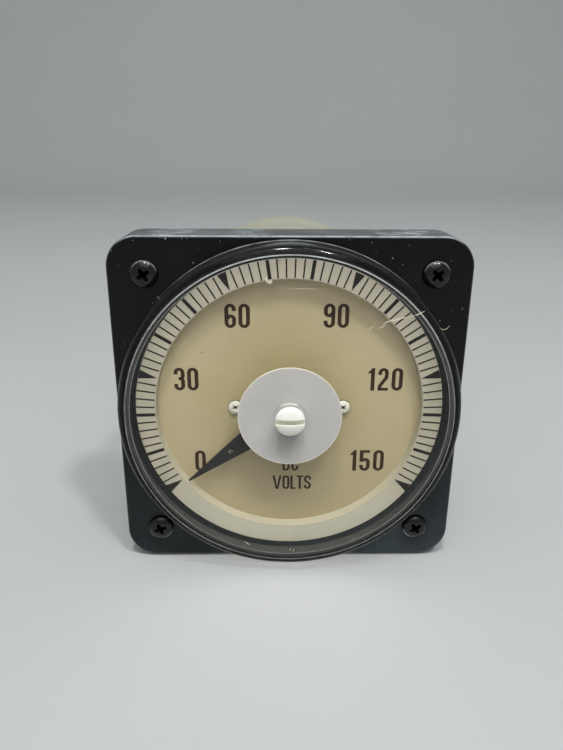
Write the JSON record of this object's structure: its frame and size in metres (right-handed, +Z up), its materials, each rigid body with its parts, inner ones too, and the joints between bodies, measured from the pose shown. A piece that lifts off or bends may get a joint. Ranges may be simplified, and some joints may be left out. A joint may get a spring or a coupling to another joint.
{
  "type": "analog panel meter",
  "caption": "Round long-scale voltmeter in a square black bezel: tan dial with raised cream scale ring, tapered pointer, clear cover with zero adjuster, round case with stud terminals.",
  "frame": {"origin": "on the panel's front face, in the middle of the bezel's rear face and of the four studs", "axes": "+Y from the dial through the panel to the terminals, along the pointer's axis; +Z up; +X to the right as seen from the front"},
  "size_m": [0.108, 0.1367, 0.108],
  "materials": {
    "black_bezel": "satin black moulding, lightly scuffed",
    "clear_cover": "clear, polished",
    "black_screws": "glossy black",
    "tan_dial": "matt tan paint",
    "cream_ring": "matt cream",
    "dark_print": "matt print",
    "ivory_screws": "ivory paint",
    "grey_disc": "matt grey",
    "white_knob": "white, satin",
    "black_pointer": "matt black paint",
    "zinc_steel": "zinc plated",
    "bright_screws": "nickel plated",
    "brass": "turned",
    "nickel_brass": "nickel plated, satin",
    "spring_bronze": "polished strip",
    "nylon": "natural nylon",
    "ruby": "polished",
    "steel_staff": "polished",
    "bare_aluminium": "satin",
    "copper_wire": "enamelled copper wire",
    "soft_iron": "machined, dull plating",
    "cast_magnet": "ground casting",
    "case_paint": "pale grey-green paint",
    "cork_gasket": "cork rubber",
    "brown_board": "laminate",
    "dark_moulding": "moulded",
    "resistance_wire": "fine insulated wire, wound",
    "lead_cover": "insulated wire"
  },
  "bodies": {
    "housing": {"bezel": "black_bezel", "board_eyelets": "brass", "bobbin_nuts": "zinc_steel", "bobbin_screws": "bright_screws", "case_gasket": "cork_gasket", "case_screws": "bright_screws", "centre_disc": "grey_disc", "core": "soft_iron", "core_strap": "brass", "cover": "clear_cover", "cover_screws": "black_screws", "dial_plate": "tan_dial", "dial_posts": "brass", "dial_screws": "ivory_screws", "disc_posts": "brass", "front_bridge": "nickel_brass", "front_bridge_posts": "brass", "front_bridge_screws": "bright_screws", "front_jewel_screw": "brass", "inner_posts": "zinc_steel", "inner_washers": "brown_board", "magnet": "cast_magnet", "mounting_plate": "zinc_steel", "mounting_studs": "zinc_steel", "movement_leads": "lead_cover", "outer_posts": "zinc_steel", "pivot_jewels": "ruby", "pole_piece": "soft_iron", "pole_screws": "bright_screws", "pole_spacers": "brass", "rear_bridge": "nickel_brass", "rear_bridge_posts": "nylon", "rear_bridge_screws": "nylon", "rear_case": "case_paint", "rear_hairspring": "spring_bronze", "rear_jewel_screw": "brass", "resistor_board": "brown_board", "resistor_bobbins": "dark_moulding", "resistor_windings": "resistance_wire", "scale_marks": "dark_print", "scale_ring": "cream_ring", "strap_screws": "bright_screws", "terminal_insulators": "dark_moulding", "terminal_leads": "lead_cover", "terminal_nuts": "nickel_brass", "terminal_studs": "nickel_brass", "terminal_washers": "nickel_brass", "wire_washers": "nickel_brass"},
    "pointer_assembly": {"pointer": "black_pointer", "pointer_hub": "bare_aluminium", "rear_collet": "brass", "staff": "steel_staff", "coil_former": "bare_aluminium", "coil_winding": "copper_wire", "coil_arms": "bare_aluminium", "balance_weights": "brass"},
    "zero_lever": {"zero_lever": "nickel_brass", "front_hairspring": "spring_bronze"},
    "zero_adjuster": {"zero_adjuster": "white_knob"}
  },
  "joints": [
    {"name": "pointer_swing", "type": "hinge", "parent": "housing", "child": "pointer_assembly", "pos_m": [0, 0, 0], "axis": [0, 1, 0], "range_deg": [0, 254.6], "stiffness_Nm_per_rad": 0.00004},
    {"name": "zero_adjust", "type": "hinge", "parent": "housing", "child": "zero_adjuster", "pos_m": [0, -0.02, 0], "axis": [0, 1, 0], "range_deg": [-20, 20]},
    {"name": "lever_turn", "type": "hinge", "parent": "housing", "child": "zero_lever", "pos_m": [0, -0.019, 0], "axis": [0, 1, 0], "range_deg": [-20, 20]}
  ],
  "couplings": [
    {"joint": "lever_turn", "follows": "zero_adjust", "ratio": 1}
  ]
}
